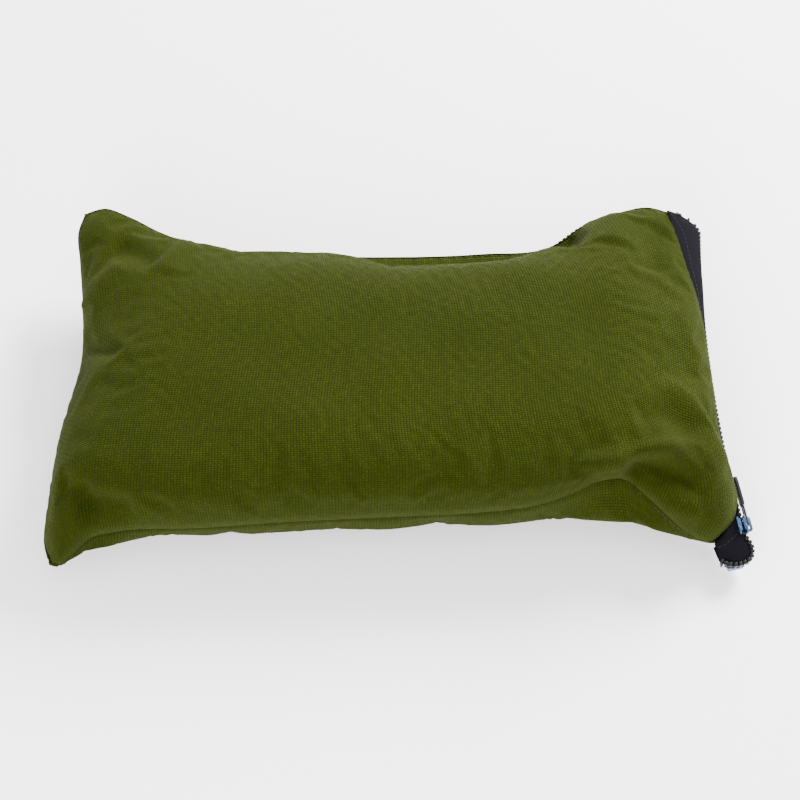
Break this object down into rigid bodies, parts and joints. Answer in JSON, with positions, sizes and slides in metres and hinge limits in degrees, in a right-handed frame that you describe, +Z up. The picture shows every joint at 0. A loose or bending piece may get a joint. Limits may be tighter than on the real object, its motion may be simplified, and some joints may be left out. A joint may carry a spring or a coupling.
{
  "type": "camp pillow",
  "caption": "Small rectangular camp pillow: a coarse olive canvas cover with flattened ears, closed by a black zip along one short end, around a fibre-filled inner cushion.",
  "frame": {"origin": "on the floor, under the middle of the pillow, at the flat patch that it rests on", "axes": "+X along the length towards the zipped end, +Y across the width, +Z up through the cushion"},
  "size_m": [0.42, 0.247, 0.0788],
  "materials": {
    "cover_canvas": "matte",
    "cover_thread": "matte",
    "zip_tape": "matte",
    "zip_teeth": "satin",
    "black_thread": "matte",
    "end_tab_webbing": "matte",
    "inner_case_cloth": "matte",
    "white_thread": "matte",
    "fibre_fill": "matte",
    "slider_lacquer": "gloss",
    "link_steel": "satin",
    "pull_grip": "matte"
  },
  "bodies": {
    "pillow": {"cover_front_panel": "cover_canvas", "cover_back_panel": "cover_canvas", "cover_seam_stitching": "cover_thread", "zip_tape_front": "zip_tape", "zip_tape_back": "zip_tape", "zip_teeth_front": "zip_teeth", "zip_teeth_back": "zip_teeth", "zip_topstitch_front": "cover_thread", "zip_topstitch_back": "cover_thread", "zip_near_stop": "zip_teeth", "zip_far_stop": "zip_teeth", "zip_end_tab": "end_tab_webbing", "corner_bartacks": "black_thread", "inner_case_front": "inner_case_cloth", "inner_case_back": "inner_case_cloth", "inner_case_stitching": "white_thread", "fibre_fill": "fibre_fill"},
    "slider": {"zip_slider": "slider_lacquer"},
    "pull": {"zip_pull_link": "link_steel", "zip_pull_tab": "pull_grip"}
  },
  "joints": [
    {"name": "slider_travel", "type": "hinge", "parent": "pillow", "child": "slider", "pos_m": [0.75321, 0.05763, -0.24268], "axis": [-0.4513, 0.0976, -0.887], "range_deg": [0, 17]},
    {"name": "pull_swing", "type": "hinge", "parent": "slider", "child": "pull", "pos_m": [0.20785, -0.09832, 0.01957], "axis": [-0.0128, 0.1988, -0.98], "range_deg": [0, 170]}
  ]
}
